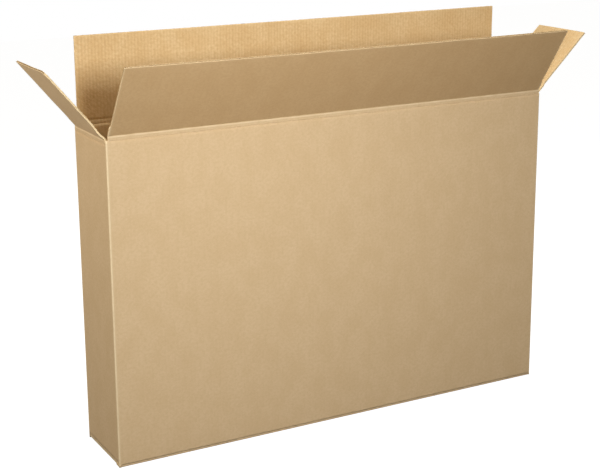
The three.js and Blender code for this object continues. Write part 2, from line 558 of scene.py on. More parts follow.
    def band(self, mesh: SheetMesh, u: np.ndarray, s: np.ndarray) -> None:
        """Adds one stretch of the fluted layer, between the two liners."""
        liner, core = BOARD.liner / BOARD.caliper, BOARD.fluting / BOARD.caliper
        low, room = liner + 0.01, 1 - 2 * liner - core - 0.02
        height = low + room * BOARD.wave(u + self.side.blank)
        near = self.wavy(u, s, height)
        far = self.wavy(u, s, height + core)
        mesh.skin(near, far, (Surface.FLUTING, Surface.FLUTING), Surface.CUT_EDGE)

    def wavy(self, u: np.ndarray, s: np.ndarray, depths: np.ndarray) -> Patch:
        """A patch whose depth in the board changes from column to column."""
        outer = self.sheet(u, s, 0.0, 0)
        inner = self.sheet(u, s, 1.0, 0)
        share = depths[None, :, None]
        return Patch(outer.xyz * (1 - share) + inner.xyz * share, outer.uv, outer.wear * 0)

    def make(self, name: str, materials: list[bpy.types.Material]) -> bpy.types.Object:
        """Builds the strip.

        Args:
            name: The piece's name.
            materials: One for each surface, in the order of Surface.

        Returns:
            The new object.
        """
        side = self.side
        flat = spaced(14 * MM, side.reach - 12 * MM, self.row_step)
        rim = side.reach - np.array([8, 4, 1.5, 0]) * MM
        shoulder = np.array([self.shoulder, self.shoulder + self.shoulder_run])
        rows = np.unique(np.concatenate([self.crease.rows(), flat, rim, shoulder]).round(6))
        edge = np.array([0, 0.7, 1.6, 3, 6, 10]) * MM
        ribbed = BOARD.columns(side.low + 12 * MM, side.high - 12 * MM, side.blank)
        plain = spaced(side.low + 12 * MM, side.high - 12 * MM, 6 * MM)
        fine = np.concatenate([side.low + edge, ribbed, (side.high - edge)[::-1]])
        coarse = np.concatenate([side.low + edge, plain, (side.high - edge)[::-1]])
        mesh = SheetMesh(name)
        liner = BOARD.liner / BOARD.caliper
        outer, inner, cut = Surface.OUTER_LINER, Surface.INNER_LINER, Surface.CUT_EDGE
        if self.build is Build.FLUTED:
            pair = (self.sheet(coarse, rows, 0.0, 0), self.sheet(coarse, rows, liner, 0))
            mesh.skin(*pair, (outer, Surface.FLUTING), cut)
            pair = (self.sheet(fine, rows, 1 - liner, 1), self.sheet(fine, rows, 1.0, 1, rib=True))
            mesh.skin(*pair, (Surface.FLUTING, inner), cut)
            self.fluting(mesh, rows)
        else:
            pair = (self.sheet(coarse, rows, 0.0, 0), self.sheet(coarse, rows, 1.0, 0, rib=True))
            mesh.skin(*pair, (outer, inner), cut)
        return mesh.finish(materials, self.mirrored)


@dataclass
class Wall:
    """One straight panel of the blank as it runs round the carton, or the glue tab."""

    start: np.ndarray
    end: np.ndarray
    posts: tuple[float, float]
    foot: float
    head: float
    post_foot: float = 0.0
    post_head: float = 0.0
    bow: float = 0.0
    seed: int = 0
    taper: float = 0.0
    travelled: float = 0.0

    @property
    def length(self) -> float:
        """The panel's length along the blank."""
        return float(np.linalg.norm(self.end - self.start))

    @property
    def run(self) -> np.ndarray:
        """The direction along the blank."""
        return (self.end - self.start) / self.length

    @property
    def outward(self) -> np.ndarray:
        """The direction out of the carton."""
        return np.array([self.run[1], -self.run[0]])

    @property
    def is_tab(self) -> bool:
        """True for the glue tab, the only one with slanted ends."""
        return self.taper > 0


@dataclass
class Column:
    """One upright line of points round the walls, on both faces of the board."""

    outer: np.ndarray
    inner: np.ndarray
    out: np.ndarray
    u: float
    foot: float
    head: float
    bow: float
    seed: int
    across: float
    rib: float
    wear: float


@dataclass
class Walls:
    """The four panels and the glue tab, as the one strip of board that they are."""

    width: float
    depth: float
    crease: Crease
    bottom_crease: Crease
    top: dict[str, Side]
    bottom: dict[str, Side]
    slot_foot: float
    fold_radius: float = 3.5 * MM
    inner_radius: float = 0.9 * MM
    fold_steps: int = 6
    fold_fade: float = 12.0 * MM
    rubbed_reach: float = 3.6 * MM
    post_step: float = 0.02 * MM
    tab_step: float = 4.0 * MM
    post_rise: float = 0.4 * MM
    tab_width: float = 38.0 * MM
    tab_gap: float = 0.3 * MM
    tab_foot: float = 26.0 * MM
    tab_below_slot: float = 14.0 * MM
    tab_taper: float = 16.0 * MM

    def panels(self) -> list[Wall]:
        """The panels in the order of the blank, from the glue tab to the right end panel."""
        x, y = self.width / 2, self.depth / 2
        seam = x - BOARD.caliper - self.tab_gap
        corners = [(seam, y), (-x, y), (-x, -y), (x, -y), (x, y)]
        walls = [Wall(
            start=np.array((seam, y - BOARD.caliper - self.tab_width)),
            end=np.array(corners[0]),
            posts=(0.0, 0.0),
            foot=self.tab_foot,
            head=self.slot_foot - self.tab_below_slot,
            taper=self.tab_taper,
        )]
        bows = {"rear": 2.2 * MM, "left": 1.0 * MM, "front": 1.6 * MM, "right": 1.2 * MM}
        for i, (name, bow) in enumerate(bows.items()):
            side = self.top[name]
            start, end = np.array(corners[i]), np.array(corners[i + 1])
            length, flush = float(np.linalg.norm(end - start)), np.array(0.0)
            spots = [side.place(np.array(u), flush, flush)[:2] for u in (side.low, side.high)]
            ends = sorted(float((spot - start) @ (end - start) / length) for spot in spots)
            walls.append(Wall(
                start=start,
                end=end,
                posts=(ends[0], length - ends[1]),
                foot=self.bottom[name].hinge[2] + self.bottom_crease.foot,
                head=side.hinge[2] - self.crease.foot,
                post_foot=self.bottom["rear"].hinge[2] if name == "rear" else self.post_rise,
                post_head=self.slot_foot,
                bow=bow,
                seed=31 + i,
                travelled=walls[-1].travelled + walls[-1].length,
            ))
        return walls

    def lay_out_blank(self) -> None:
        """Tells each side where it lies along the flat blank."""
        for name, wall in zip(("rear", "left", "front", "right"), self.panels()[1:]):
            for side in (self.top[name], self.bottom[name]):
                offset = (wall.start - side.hinge[:2]) @ side.along[:2]
                side.blank = wall.travelled - offset

    def panel_columns(self, wall: Wall, first: bool, last: bool) -> list[Column]:
        """The columns of one panel, between its folds.

        Args:
            wall: The panel.
            first: True at the start of the blank, with no fold before the panel.
            last: True at its end, with no fold after the panel.

        Returns:
            The columns, in the order of the blank.
        """
        length, fade, inset = wall.length, self.fold_fade, BOARD.caliper + self.inner_radius
        post_start, post_end = wall.posts[0], length - wall.posts[1]
        begin = 0.0 if first else self.fold_radius
        finish = length if last else length - self.fold_radius
        inner_begin = 0.0 if first else inset
        inner_finish = length if last else length - BOARD.caliper - self.inner_radius
        if wall.is_tab:
            places = spaced(begin, finish, self.tab_step)
        else:
            step, clear = self.post_step, 1 * MM
            middle = BOARD.columns(post_start + clear, post_end - clear, wall.travelled)
            head = [begin, post_start - step, post_start]
            places = np.concatenate([head, middle, [post_end, post_end + step, finish]])
        columns = []
        for place in places:
            share = (place - begin) / (finish - begin)
            inside = inner_begin + (inner_finish - inner_begin) * share
            if post_start + fade < place < post_end - fade:
                inside = place
            else:
                edge = min(place - begin, finish - place) / fade
                inside = inside + (place - inside) * float(smooth(np.array(edge)))
            on_post = not wall.is_tab and (place < post_start or place > post_end)
            slope = wall.taper * (1 - place / length)
            near = min(place, length - place)
            # Paler near the folds: scuffing, and a painted highlight where the board turns round
            # them.
            rubbed = 0.4 * math.exp(-((near / self.rubbed_reach) ** 2))
            ribbed = float(smooth(np.array(near / (10 * MM) - 0.5)))
            columns.append(Column(
                outer=wall.start + wall.run * place,
                inner=wall.start + wall.run * inside - wall.outward * BOARD.caliper,
                out=wall.outward,
                u=wall.travelled + place,
                foot=wall.post_foot if on_post else wall.foot + slope,
                head=wall.post_head if on_post else wall.head - slope,
                bow=wall.bow,
                seed=wall.seed,
                across=place / length,
                rib=0.0 if wall.is_tab else ribbed,
                wear=0.1 if wall.is_tab else rubbed,
            ))
        return columns

    def fold_columns(self, wall: Wall, after: Wall) -> list[Column]:
        """The columns round the fold between a panel and the next one."""
        radius, inset = self.fold_radius, BOARD.caliper + self.inner_radius
        centre = wall.end - wall.run * radius - wall.outward * radius
        inner_centre = wall.end - wall.run * inset - wall.outward * inset
        columns = []
        for k in range(1, self.fold_steps):
            angle = (k / self.fold_steps) * math.pi / 2
            out = wall.outward * math.cos(angle) + wall.run * math.sin(angle)
            owner = after if wall.is_tab and k > self.fold_steps // 2 else wall
            columns.append(Column(
                outer=centre + out * radius,
                inner=inner_centre + out * self.inner_radius,
                out=out,
                u=wall.travelled + wall.length - radius + 2 * radius * k / self.fold_steps,
                foot=owner.foot if owner.is_tab else owner.post_foot,
                head=owner.head if owner.is_tab else owner.post_head,
                bow=wall.bow,
                seed=wall.seed,
                across=1.0,
                rib=0.0,
                # Palest halfway round the fold: scuffing, and a painted highlight where the ridge
                # faces the lamps.
                wear=0.45 + 0.4 * math.sin(2 * angle),
            ))
        return columns

    def columns(self) -> dict[str, np.ndarray]:
        """All columns along the blank, as one array for each of their values."""
        walls = self.panels()
        made: list[Column] = []
        for number, wall in enumerate(walls):
            last = number == len(walls) - 1
            made += self.panel_columns(wall, number == 0, last)
            if not last:
                made += self.fold_columns(wall, walls[number + 1])
        names = [entry.name for entry in fields(Column)]
        return {name: np.array([getattr(column, name) for column in made]) for name in names}

    def make(self, mesh: SheetMesh) -> None:
        """Adds the walls to a piece."""
        c = self.columns()
        share = np.array([0, 0.006, 0.02, 0.05, 0.1, 0.17, 0.25, 0.34, 0.43, 0.52, 0.61,
                          0.7, 0.78, 0.85, 0.91, 0.95, 0.975, 0.99, 1.0])
        z = c["foot"][None, :] + (c["head"] - c["foot"])[None, :] * share[:, None]
        rise = np.broadcast_to(share[:, None], z.shape)
        bulge = np.zeros_like(z)
        for seed in np.unique(c["seed"][c["seed"] > 0]):
            mine = c["seed"] == seed
            across = c["across"][mine][None, :]
            window = np.sin(math.pi * np.clip(across, 0, 1)) * np.sin(math.pi * rise[:, mine])
            uneven = wobble(c["u"][mine][None, :] + 0 * z[:, mine], int(seed), 420 * MM)
            slanted = z[:, mine] + 0.2 * c["u"][mine][None, :]
            uneven = uneven + wobble(slanted, int(seed) + 9, 300 * MM)
            bulge[:, mine] = window * (c["bow"][mine][None, :] + 0.7 * MM * uneven)
        patches = []
        for base, inner in ((c["outer"], False), (c["inner"], True)):
            rib = BOARD.rib(c["u"]) * c["rib"] if inner else 0 * c["u"]
            plan = base[None] + c["out"][None] * (bulge + rib[None, :])[..., None]
            xyz = np.concatenate([plan, z[..., None]], -1)
            uv = np.stack([np.broadcast_to(c["u"][None, :], z.shape), z], -1)
            wear = np.broadcast_to(c["wear"][None, :], z.shape) * (0.25 if inner else 1.0)
            patches.append(Patch(xyz, uv, wear))
        mesh.skin(*patches, (Surface.OUTER_LINER, Surface.INNER_LINER), Surface.CUT_EDGE)


def linear(code: str) -> tuple[float, float, float, float]:
    """An sRGB hex colour as linear red, green, blue and alpha."""
    parts = [int(code[i : i + 2], 16) / 255 for i in (1, 3, 5)]
    bent = [p / 12.92 if p <= 0.04045 else ((p + 0.055) / 1.055) ** 2.4 for p in parts]
    return (*bent, 1.0)


class NodeTree:
    """The nodes of one material, or of the world."""

    def __init__(self, owner: bpy.types.Material | bpy.types.World) -> None:
        """Empties the owner's tree."""
        owner.use_nodes = True
        self.tree = owner.node_tree
        self.tree.nodes.clear()

    def add(self, kind: str, inputs: dict, output: int | str = 0, **settings) -> Socket | None:
        """Adds a node with its settings and links.

        Args:
            kind: The node's type name, after "ShaderNode".
            inputs: Input name or number to a value, or to the output that is linked to it.
            output: Name or number of the output that is wanted.
            **settings: The node's own settings.

        Returns:
            That output, or None from a node that has no outputs.
        """
        node = self.tree.nodes.new(f"ShaderNode{kind}")
        for key, value in settings.items():
            setattr(node, key, value)
        for key, value in inputs.items():
            if isinstance(value, Socket):
                self.tree.links.new(value, node.inputs[key])
            else:
                node.inputs[key].default_value = value
        return node.outputs[output] if node.outputs else None


@dataclass(frozen=True)
class Grain:
    """A cloudy pattern on the board, as wide across the flutes and as long as it really is."""

    name: str
    across_mm: float
    along_mm: float
    detail: float
    seed: float
    turn: float = 0.0


@dataclass(frozen=True)
class Coat:
    """A tint that shows where a grain is strong."""

    grain: str
    low: float
    high: float
    strength: float
    tint: str


@dataclass(frozen=True)
class Speck:
    """Small marks, one in a cell of the board at most."""

    seed: float
    cell_mm: float
    size: float
    left_out: float
    tint: str


@dataclass(frozen=True, kw_only=True)
class Paper:
    """What every surface of the board shares: grains of a real size, and no gloss."""

    name: str
    grains: tuple[Grain, ...]

    def build(self) -> bpy.types.Material:
        """Builds the paper's material."""
        material = bpy.data.materials.new(self.name)
        tree = NodeTree(material)
        uv = tree.add("UVMap", {}, uv_map=UV_NAME)
        board = tree.add("VectorMath", {0: uv, "Scale": 1.0 / MM}, operation="SCALE")
        self.dress(tree, board, self.lay_grains(tree, board))
        return material

    def lay_grains(self, tree: NodeTree, board: Socket) -> dict[str, Socket]:
        """Lays the paper's grains over the board.

        Args:
            tree: Where the nodes go.
            board: The place on the board in millimetres, across the flutes and along them.

        Returns:
            Each grain's strength, by its name.
        """
        laid = {}
        for grain in self.grains:
            place = board
            if grain.turn:
                turn = {"Vector": board, "Angle": grain.turn}
                place = tree.add("VectorRotate", turn, rotation_type="Z_AXIS")
            scale = (1 / grain.across_mm, 1 / grain.along_mm, 1.0)
            shift = (grain.seed * 7.3, grain.seed * 3.1, grain.seed)
            place = tree.add("VectorMath", {0: place, 1: scale, 2: shift}, operation="MULTIPLY_ADD")
            cloud = {"Vector": place, "Scale": 1.0, "Detail": grain.detail, "Roughness": 0.55}
            laid[grain.name] = tree.add("TexNoise", cloud, noise_dimensions="2D")
        return laid

    def lay_coats(
        self, tree: NodeTree, grains: dict[str, Socket], colour: Colour, coats: tuple[Coat, ...]
    ) -> Socket:
        """Lays tints over a colour, each where its grain is strong."""
        for coat in coats:
            ends = {1: coat.low, 2: coat.high, 3: 0.0, 4: coat.strength}
            mask = tree.add("MapRange", {0: grains[coat.grain], **ends}, **SOFT_STEP)
            colour = tree.add("Mix", {0: mask, 6: colour, 7: linear(coat.tint)}, 2, **COLOURS)
        return colour

    def dress(self, tree: NodeTree, board: Socket, grains: dict[str, Socket]) -> None:
        """Adds the paper's colour, relief and shader over its grains."""
        raise NotImplementedError

    def close(
        self, tree: NodeTree, height: Socket, strength: float, distance_mm: float, shader: dict
    ) -> None:
        """Adds the relief and the shader.

        Args:
            tree: Where the nodes go.
            height: How high the paper stands.
            strength: How much of the relief shows.
            distance_mm: The relief's depth where the height is 1.
            shader: The shader's inputs, apart from the normal.
        """
        relief = {"Strength": strength, "Distance": distance_mm * MM, "Height": height}
        normal = tree.add("Bump", relief)
        surface = tree.add("BsdfPrincipled", {**shader, "Normal": normal})
        tree.add("OutputMaterial", {"Surface": surface})


@dataclass(frozen=True, kw_only=True)
class KraftLiner(Paper):
    """Kraft paper, machine-made and calendered, glued over the flutes.

    The eye sees a matt tan sheet with cloudy fibre clumps some millimetres wide, short fibres
    across the flutes, a few pale and dark specks, and faint stripes at the flute pitch: glue lines
    on the outside, and on the inner liner painted shade in the hollows between the flute tips.
    """

    sheet: str
    pale: str
    dark: str
    # Pale tint of scuffed edges and of the painted highlight on ridges and beads.
    rubbed: str
    stripe: str
    stripe_strength: float
    rib_bump_mm: float
    cockle_mm: float = 0.03
    # Tint multiplied in as painted shade on a flap's outer face turned away from the lamps.
    handled: str = "#E9E0D2"
    sheet_share: float = 0.72
    roughness: float = 0.82
    # Real kraft fibres are about 0.03 mm wide. They are drawn 0.55 mm wide, the least that
    # shows at the photograph's distance.
    grains: tuple[Grain, ...] = (
        Grain("cloud", 46.0, 64.4, 4.0, 1),
        Grain("clump", 7.8, 6.0, 3.0, 2),
        Grain("fibre", 5.5, 0.55, 4.0, 3),
        Grain("drift", 260.0, 260.0, 1.0, 4),
        Grain("cross", 0.88, 4.4, 3.0, 5),
        Grain("wrinkle", 14.0, 5.5, 2.0, 9, turn=-0.6),
    )

    def dress(self, tree: NodeTree, board: Socket, grains: dict[str, Socket]) -> None:
        """Adds fibres, glue stripes partly painted as shade, specks, painted shade on a flap,
        scuffing with a painted highlight, and wrinkles with painted shade.
        """
        across = tree.add("SeparateXYZ", {0: board})
        turn = 2 * math.pi * MM / BOARD.pitch
        phase = tree.add("Math", {0: across, 1: turn}, operation="MULTIPLY")
        wave = tree.add("Math", {0: phase}, operation="COSINE")
        tips = tree.add("Math", {0: wave, 1: 0.5, 2: 0.5}, operation="MULTIPLY_ADD")
        uneven = {0: grains["drift"], 1: 0.35, 2: 0.65, 3: 0.15, 4: 1.0}
        patches = tree.add("MapRange", uneven, **SOFT_STEP)
        colour = self.fibres(tree, grains)
        colour = self.glue_stripes(tree, grains, tips, colour)
        colour = self.specks(tree, board, colour)
        colour = self.handling(tree, grains, colour)
        colour = self.wrinkle_shade(tree, grains, patches, colour)
        # Calendering presses the fibres flat: the sheet is matt, a little smoother on a fibre.
        rough = {0: grains["fibre"], 1: 0.3, 2: 0.7}
        rough |= {3: self.roughness + 0.06, 4: self.roughness - 0.05}
        shader = {
            "Base Color": colour,
            "Roughness": tree.add("MapRange", rough, **SOFT_STEP),
            "IOR": 1.45,
            "Specular IOR Level": 0.3,
        }
        self.close(tree, self.height(tree, grains, tips, patches), 0.8, 1.0, shader)

    def fibres(self, tree: NodeTree, grains: dict[str, Socket]) -> Socket:
        """The bare sheet: clouds of pale and dark fibre under the pressed surface."""
        clouds = (Coat("cloud", 0.3, 0.7, 1.0, self.pale),)
        colour = self.lay_coats(tree, grains, linear(self.dark), clouds)
        even = {0: self.sheet_share, 6: colour, 7: linear(self.sheet)}
        colour = tree.add("Mix", even, 2, **COLOURS)
        strands = (
            Coat("clump", 0.32, 0.72, 0.5, self.dark),
            Coat("fibre", 0.45, 0.75, 0.65, self.pale),
            Coat("cross", 0.52, 0.78, 0.5, self.dark),
        )
        return self.lay_coats(tree, grains, colour, strands)

    def glue_stripes(
        self, tree: NodeTree, grains: dict[str, Socket], tips: Socket, colour: Socket
    ) -> Socket:
        """Darkens stripes at the flute pitch, more in some places: glue lines outside, painted
        shade in the sagging hollows inside.
        """
        drift = {0: grains["drift"], 1: 0.3, 2: 0.7, 3: 0.6, 4: 1.0}
        drift = tree.add("MapRange", drift, **SOFT_STEP)
        strength = tree.add("Math", {0: drift, 1: self.stripe_strength}, operation="MULTIPLY")
        share = tree.add("Math", {0: tips, 1: strength}, operation="MULTIPLY")
        return tree.add("Mix", {0: share, 6: colour, 7: linear(self.stripe)}, 2, **COLOURS)

    def specks(self, tree: NodeTree, board: Socket, colour: Socket) -> Socket:
        """Adds a few pale specks and short dark fibres."""
        kinds = (Speck(1.0, 16.0, 0.05, 0.62, self.pale), Speck(2.0, 11.0, 0.045, 0.6, self.stripe))
        for kind in kinds:
            scale = (1 / kind.cell_mm, 1.7 / kind.cell_mm, 1.0)
            shift = (kind.seed * 5.1, kind.seed * 2.7, 0)
            place = tree.add("VectorMath", {0: board, 1: scale, 2: shift}, operation="MULTIPLY_ADD")
            cells = {"Vector": place, "Scale": 1.0}
            distance = tree.add("TexVoronoi", cells, "Distance", voronoi_dimensions="2D")
            chance = tree.add("SeparateColor", {0: distance.node.outputs["Color"]})
            picked = tree.add("Math", {0: chance, 1: kind.left_out}, operation="GREATER_THAN")
            spot = {0: distance, 1: kind.size, 2: kind.size * 1.7, 3: 0.45, 4: 0.0}
            spot = tree.add("MapRange", spot, **SOFT_STEP)
            share = tree.add("Math", {0: spot, 1: picked}, operation="MULTIPLY")
            colour = tree.add("Mix", {0: share, 6: colour, 7: linear(kind.tint)}, 2, **COLOURS)
        return colour

    def handling(self, tree: NodeTree, grains: dict[str, Socket], colour: Socket) -> Socket:
        """Paints shade on the front flap's outer face, turned down and away from the lamps, and
        pales scuffed edges, with a painted highlight on fold ridges and beads.
        """
        # Painted shade: the front flap's outer face is multiplied by a grey tint, for the shade of
        # a face turned down and away from the lamps.
        dulled = tree.add("Attribute", {}, "Fac", attribute_name=PAINTED_SHADE_NAME)
        tinted = {0: 1.0, 6: colour, 7: linear(self.handled)}
        tinted = tree.add("Mix", tinted, 2, **COLOURS, blend_type="MULTIPLY")
        colour = tree.add("Mix", {0: dulled, 6: colour, 7: tinted}, 2, **COLOURS)
        # Painted pale: scuffed cut edges, and a painted highlight on fold ridges and crease beads.
        worn_and_highlit = tree.add("Attribute", {}, "Fac", attribute_name=WEAR_AND_HIGHLIGHT_NAME)
        broken = {0: grains["clump"], 1: 0.2, 2: 0.6, 3: 0.55, 4: 1.0}
        broken = tree.add("MapRange", broken, **SOFT_STEP)
        share = tree.add("Math", {0: worn_and_highlit, 1: broken}, operation="MULTIPLY")
        return tree.add("Mix", {0: share, 6: colour, 7: linear(self.rubbed)}, 2, **COLOURS)

    def wrinkle_shade(
        self, tree: NodeTree, grains: dict[str, Socket], patches: Socket, colour: Socket
    ) -> Socket:
        """Paints shade into the wrinkles that the glue's moisture left."""
        # Painted shade: the dark colour is laid into the wrinkles, over their bump.
        fold = {0: grains["wrinkle"], 1: 0.5, 2: 0.62, 3: 0.0, 4: self.cockle_mm * 0.22}
        fold = tree.add("MapRange", fold, **SOFT_STEP)
        share = tree.add("Math", {0: fold, 1: patches}, operation="MULTIPLY")
        return tree.add("Mix", {0: share, 6: colour, 7: linear(self.dark)}, 2, **COLOURS)

    def height(
        self, tree: NodeTree, grains: dict[str, Socket], tips: Socket, patches: Socket
    ) -> Socket:
        """The sheet's relief in millimetres: flute tips, fibres, clumps and wrinkles."""
        fibre = tree.add("Math", {0: grains["fibre"], 1: 0.05}, operation="MULTIPLY")
        ribs = {0: tips, 1: self.rib_bump_mm, 2: fibre}
        height = tree.add("Math", ribs, operation="MULTIPLY_ADD")
        lumps = tree.add("Math", {0: grains["clump"], 1: grains["cross"]}, operation="ADD")
        lumps = tree.add("Math", {0: lumps, 1: 0.03}, operation="MULTIPLY")
        height = tree.add("Math", {0: height, 1: lumps}, operation="ADD")
        fold = tree.add("Math", {0: grains["wrinkle"], 1: self.cockle_mm}, operation="MULTIPLY")
        fold = tree.add("Math", {0: fold, 1: patches}, operation="MULTIPLY")
        return tree.add("Math", {0: height, 1: fold}, operation="ADD")


@dataclass(frozen=True, kw_only=True)
class KraftFluting(Paper):
    """Semi-chemical fluting paper, pressed hot into waves.

    The eye sees a greyer, duller paper than the liners, with coarse short fibres.
    """

    name: str = "fluting_paper_pressed_in_waves"
    sheet: str = "#B8966A"
    dark: str = "#8A6B45"
    grains: tuple[Grain, ...] = (Grain("fibre", 3.0, 0.5, 4.0, 6),)

    def dress(self, tree: NodeTree, board: Socket, grains: dict[str, Socket]) -> None:
        """Adds the coarse fibres."""
        strands = (Coat("fibre", 0.3, 0.75, 1.0, self.sheet),)
        colour = self.lay_coats(tree, grains, linear(self.dark), strands)
        # Uncalendered paper scatters almost all light: nearly no sheen.
        shader = {"Base Color": colour, "Roughness": 0.92, "Specular IOR Level": 0.2}
        self.close(tree, grains["fibre"], 0.6, 0.2, shader)


@dataclass(frozen=True, kw_only=True)
class CutBoard(Paper):
    """Board cut by a steel rule.

    The eye sees bare, fuzzy fibres, paler than the calendered faces, with a darker broken band
    between the liners where only fluting was cut: its paper, and painted shade in the gaps between
    the flutes.
    """

    name: str = "board_edge_cut_by_steel_rule"
    pale: str = "#F0D8AE"
    sheet: str = "#D9BB8A"
    hollow: str = "#8A6B44"
    hollow_strength: float = 0.35
    grains: tuple[Grain, ...] = (Grain("fibre", 1.6, 0.6, 4.0, 7), Grain("tear", 7.0, 2.0, 3.0, 8))

    def dress(self, tree: NodeTree, board: Socket, grains: dict[str, Socket]) -> None:
        """Adds the fuzz and the darker band, whose shade of the flute gaps is painted."""
        caliper = BOARD.caliper / MM
        depth = tree.add("SeparateXYZ", {0: board}, "Y")
        centred = tree.add("Math", {0: depth, 1: caliper / 2}, operation="SUBTRACT")
        middle = tree.add("Math", {0: centred}, operation="ABSOLUTE")
        inside = {0: middle, 1: caliper * 0.28, 2: caliper * 0.36, 3: 1.0, 4: 0.0}
        inside = tree.add("MapRange", inside, **SOFT_STEP)
        thick = tree.add("Math", {0: depth, 1: 0.0}, operation="GREATER_THAN")
        band = tree.add("Math", {0: inside, 1: thick}, operation="MULTIPLY")
        # Painted shade: the middle of the cut edge is darkened for the fluting's paper and for the
        # shade in the gaps between the flutes.
        torn = {0: grains["tear"], 1: 0.42, 2: 0.6, 3: 0.0, 4: self.hollow_strength}
        torn = tree.add("MapRange", torn, **SOFT_STEP)
        share = tree.add("Math", {0: band, 1: torn}, operation="MULTIPLY")
        fuzz = (Coat("fibre", 0.3, 0.7, 1.0, self.pale),)
        colour = self.lay_coats(tree, grains, linear(self.sheet), fuzz)
        colour = tree.add("Mix", {0: share, 6: colour, 7: linear(self.hollow)}, 2, **COLOURS)
        # Torn fibre ends stand up and catch the light from all sides: the driest finish.
        shader = {"Base Color": colour, "Roughness": 0.95, "Specular IOR Level": 0.15}
        self.close(tree, grains["fibre"], 0.7, 0.4, shader)


@dataclass
class Carton:
    """The whole carton: its walls and bottom, and its four top flaps."""

    leans: dict[str, float]
    crease: Crease = Crease()

    def __post_init__(self) -> None:
        """Reads the sides and builds the finishes."""
        low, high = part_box("carton_body")
        self.width = high.x - low.x
        self.depth = high.y - low.y
        self.sides = {name: Side.read(name, lean) for name, lean in self.leans.items()}
        outer = KraftLiner(
            name="kraft_liner_outside_calendered",
            sheet="#D3B48A",
            pale="#DABD95",
            dark="#C8A87C",
            rubbed="#E9D2AA",
            stripe="#BFA074",
            stripe_strength=0.05,
            rib_bump_mm=0.03,
        )
        # The inner liner is thinner, so the flutes and the glue's wrinkles show through it. Its
        # stripes and wrinkles also carry painted shade.
        inner = KraftLiner(
            name="kraft_liner_inside_calendered",
            sheet="#D5B787",
            pale="#DDC498",
            dark="#C09A66",
            rubbed="#EAD0A2",
            stripe="#B08650",
            # Stronger stripes: painted shade in the sagging hollows of the inner liner.
            stripe_strength=0.26,
            rib_bump_mm=0.14,
            cockle_mm=1.2,
        )
        self.materials = [outer.build(), inner.build(), KraftFluting().build(), CutBoard().build()]

    def flap_pieces(self, characters: dict[str, Character]) -> None:
        """Builds the four top flaps, each folded over its crease from the strip of wall below it.
        """
        for name, side in self.sides.items():
            step = 7 * MM if characters[name].quilt else 12 * MM
            strip = FoldedStrip(side, characters[name], self.crease, row_step=step)
            piece = strip.make(f"{name}_flap_board", self.materials)
            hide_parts(f"{name}_flap")
            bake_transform(piece)
            LOG.info("%s: %d faces", piece.name, len(piece.data.polygons))

    def bottom_sides(self) -> dict[str, Side]:
        """The bottom flaps' creases: the front one outermost, then the rear one, then the ends."""
        made = {}
        layers = {"front": 0, "rear": 1, "left": 2, "right": 2}
        for name, layer in layers.items():
            top = self.sides[name]
            hinge = top.hinge.copy()
            hinge[2] = layer * BOARD.caliper
            gap = BOARD.caliper + 0.6 * MM
            long = name in ("front", "rear")
            half = self.width / 2 - 1.2 * MM if long else self.depth / 2 - gap
            made[name] = Side(name, hinge, top.inward, -half, half, top.reach)
        return made

    def body_piece(self) -> None:
        """Builds the walls, the glue tab and the shut bottom as one piece."""
        bottom = self.bottom_sides()
        slot_foot = self.sides["left"].hinge[2] - 1.0 * MM
        mesh = SheetMesh("carton_walls")
        flat = Crease(foot=4.6 * MM, bend=3.2 * MM, bead_height=0.0, score_depth=0.0, crush=0.6)
        panels = Walls(
            width=self.width,
            depth=self.depth,
            crease=self.crease,
            bottom_crease=flat,
            top=self.sides,
            bottom=bottom,
            slot_foot=slot_foot,
        )
        panels.lay_out_blank()
        panels.make(mesh)
        walls = mesh.finish(self.materials)
        parts = [walls]
        for number, (name, side) in enumerate(bottom.items()):
            character = Character(90 + number, -math.pi / 2, bow=0.0, ripple=0.0)
            strip = FoldedStrip(
                side,
                character,
                flat,
                Build.SOLID,
                mirrored=True,
                ragged=0.1 * MM,
                row_step=24 * MM,
            )
            parts.append(strip.make(f"bottom_{name}", self.materials))
        with bpy.context.temp_override(active_object=walls, selected_editable_objects=parts):
            bpy.ops.object.join()
        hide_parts("carton_body")
        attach(walls, "carton")
        LOG.info("%s: %d faces", walls.name, len(walls.data.polygons))


@dataclass(frozen=True)
class PhotoCamera:
    """Where the photographer stood, from the carton's edges in the photograph."""

    place_mm: tuple[float, float, float] = (-1550.4, -2746.2, 1325.4)
    azimuth: float = 28.558
    down: float = 14.179
    roll: float = -0.384
    focal_px: float = 1365.0
    frame_px: tuple[int, int] = (600, 474)
    centre_px: tuple[float, float] = (300.0, 197.0)

    def make(self) -> None:
        """Adds the camera and makes it the scene's."""
        data = bpy.data.cameras.new("photo_camera")
        wide, tall = self.frame_px
        data.sensor_width = 36.0
        data.lens = self.focal_px * data.sensor_width / wide
        data.shift_x = (wide / 2 - self.centre_px[0]) / wide
        data.shift_y = -(tall / 2 - self.centre_px[1]) / wide
        camera = bpy.data.objects.new("photo_camera", data)
        az, down, roll = (math.radians(v) for v in (self.azimuth, self.down, self.roll))
        flat = math.cos(down)
        ahead = Vector((math.sin(az) * flat, math.cos(az) * flat, -math.sin(down)))
        level = ahead.cross(Vector(UP)).normalized()
        above = level.cross(ahead)
        right = level * math.cos(roll) + above * math.sin(roll)
        top = right.cross(ahead)
        turn = Matrix((right, top, -ahead)).transposed().to_4x4()
        camera.matrix_world = Matrix.Translation(Vector(self.place_mm) * MM) @ turn
        bpy.context.scene.collection.objects.link(camera)
        bpy.context.scene.camera = camera


